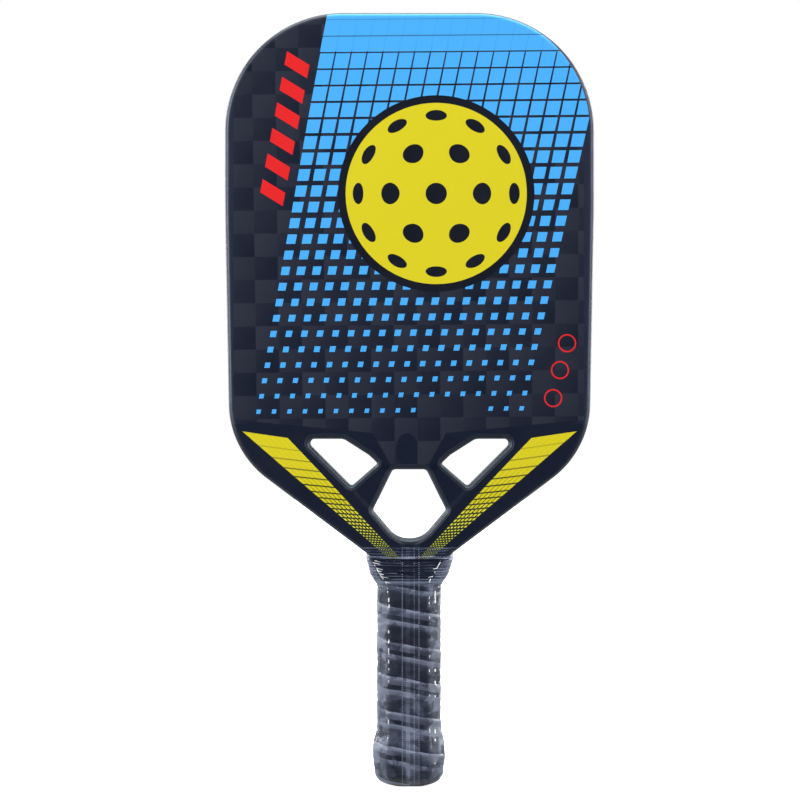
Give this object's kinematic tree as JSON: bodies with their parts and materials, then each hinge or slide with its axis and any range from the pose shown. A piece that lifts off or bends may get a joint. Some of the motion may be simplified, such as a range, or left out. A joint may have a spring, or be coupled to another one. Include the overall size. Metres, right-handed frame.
{
  "type": "pickleball paddle",
  "caption": "Pickleball paddle with a carbon sandwich head, an open throat with three windows and a wrapped octagonal handle.",
  "frame": {"origin": "middle of the butt's flat end, on the handle's axis", "axes": "+Z from the butt up the handle to the top of the head, +X to the right across the front face, -Y out of the front face"},
  "size_m": [0.194, 0.034, 0.406],
  "materials": {
    "carbon_face": "woven carbon sheet under a satin clear coat, printed with a blue lattice and yellow stripes",
    "carbon_edge": "moulded carbon, satin black",
    "honeycomb": "bare polymer film",
    "foam": "closed-cell foam",
    "pallet": "moulded, matt",
    "cap": "moulded, satin black",
    "staple": "plain wire",
    "wrap": "cushioned synthetic strip, matt black",
    "tape": "thin black tape",
    "film": "clear stretch film, creased"
  },
  "bodies": {
    "root": {"front_skin": "carbon_face", "rear_skin": "carbon_face", "edge_wall": "carbon_edge", "window_liner_left": "carbon_edge", "window_liner_centre": "carbon_edge", "window_liner_right": "carbon_edge", "honeycomb_core": "honeycomb", "edge_foam": "foam", "bridge_foam": "foam", "throat_foam_left": "foam", "throat_foam_right": "foam", "handle_core": "foam", "handle_pallet_front": "pallet", "handle_pallet_rear": "pallet", "butt_cap": "cap", "cap_staples": "staple", "grip_wrap": "wrap", "finishing_tape": "tape", "grip_film": "film"}
  },
  "joints": []
}
